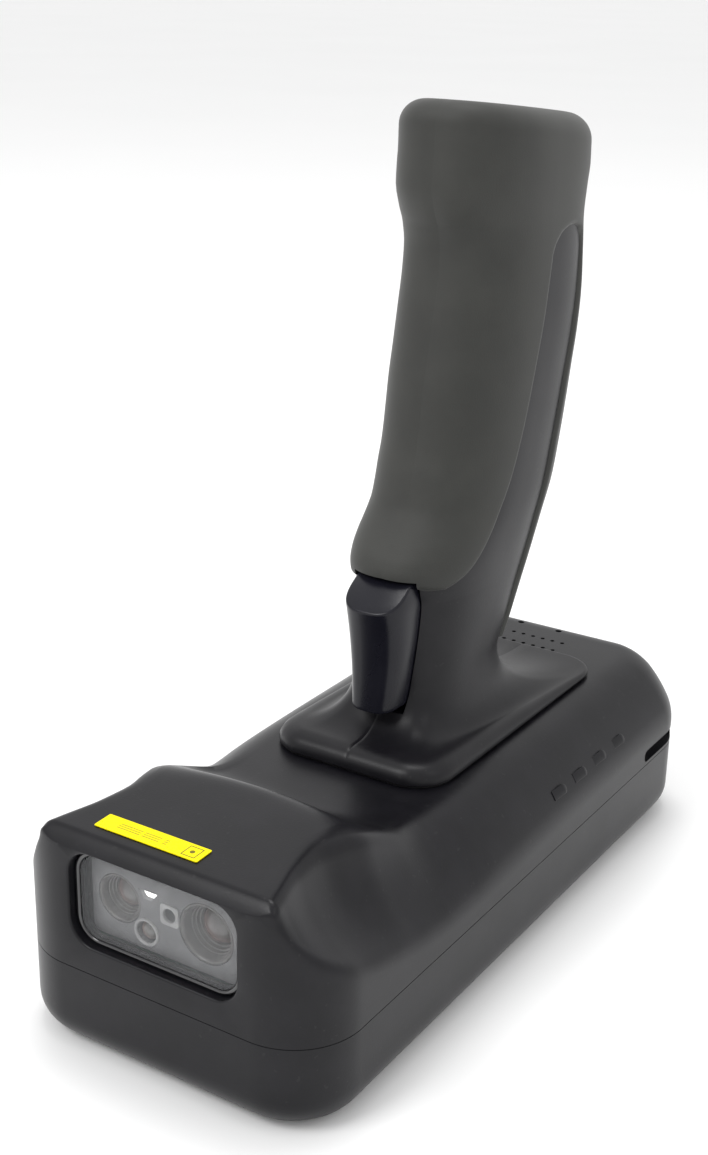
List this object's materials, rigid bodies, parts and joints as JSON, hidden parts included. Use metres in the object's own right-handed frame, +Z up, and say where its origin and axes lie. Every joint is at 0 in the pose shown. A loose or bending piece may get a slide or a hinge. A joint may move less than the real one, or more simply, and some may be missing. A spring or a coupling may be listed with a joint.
{
  "type": "handheld barcode scanner",
  "caption": "Pistol-grip handheld scan terminal lying on its face: wide low body with a raised scan head and window, rubber-covered grip on a plinth, and a sprung trigger.",
  "frame": {"origin": "centre of the footprint on the resting plane: the device lies on the bezel of its display face", "axes": "+X across the width, -Y the way the scan window looks, +Z up the grip"},
  "size_m": [0.07, 0.16, 0.1652],
  "materials": {
    "housing": "fine satin moulded texture",
    "handle": "fine satin moulded texture",
    "seal": "matte",
    "touch_glass": "polished, black printed border",
    "display": "dark, unlit",
    "scan_key": "matte",
    "keys": "matte",
    "component": "moulded",
    "board": "solder-masked laminate",
    "shield": "tinned",
    "steel": "zinc plated",
    "battery": "shrink wrapped",
    "window": "polished",
    "window_frame": "glossy",
    "engine": "pale grey moulded",
    "barrel": "satin",
    "lens": "coated",
    "led": "clear cap",
    "ribbon": "polyimide",
    "label": "printed film",
    "grip_rubber": "matte soft-touch",
    "trigger": "semi-gloss",
    "lead": "insulated"
  },
  "bodies": {
    "scanner_body": {"front_housing": "housing", "back_housing": "housing", "housing_seal": "seal", "touch_glass": "touch_glass", "display_panel": "display", "key_switches": "component", "main_board": "board", "shield_cans": "shield", "board_connectors": "component", "board_screws": "steel", "charge_socket": "shield", "battery_pack": "battery", "speaker": "component", "scan_window": "window", "window_frame": "window_frame", "engine_chassis": "engine", "left_lens_barrel": "barrel", "right_lens_barrel": "barrel", "left_lens": "lens", "right_lens": "lens", "aimer_lens": "lens", "illumination_led": "led", "engine_board": "board", "engine_ribbon": "ribbon", "engine_screws": "steel", "warning_label": "label", "plinth_gasket": "seal", "left_handle_shell": "handle", "right_handle_shell": "handle", "left_grip_skin": "grip_rubber", "right_grip_skin": "grip_rubber", "handle_screws": "steel", "plinth_screws": "steel", "case_screws": "steel", "trigger_pin": "steel", "trigger_spring": "steel", "trigger_switch": "component", "trigger_lead": "lead"},
    "trigger": {"trigger": "trigger"},
    "scan_key": {"scan_key": "scan_key"},
    "menu_key": {"menu_key": "keys"},
    "power_key": {"power_key": "keys"}
  },
  "joints": [
    {"name": "trigger_pull", "type": "hinge", "parent": "scanner_body", "child": "trigger", "pos_m": [0, 0.002, 0.0705], "axis": [1, 0, 0], "range_deg": [0, 7], "stiffness_Nm_per_rad": 0.25, "springref_deg": -14.32, "deforming": ["trigger_spring"]},
    {"name": "scan_key_press", "type": "slide", "parent": "scanner_body", "child": "scan_key", "axis": [0, 0, 1], "range_m": [0, 0.0004], "stiffness_N_per_m": 2500, "springref_m": -0.0003},
    {"name": "menu_key_press", "type": "slide", "parent": "scanner_body", "child": "menu_key", "axis": [0, 0, 1], "range_m": [0, 0.0004], "stiffness_N_per_m": 2500, "springref_m": -0.0003},
    {"name": "power_key_press", "type": "slide", "parent": "scanner_body", "child": "power_key", "axis": [0, 0, 1], "range_m": [0, 0.0004], "stiffness_N_per_m": 2500, "springref_m": -0.0003}
  ]
}
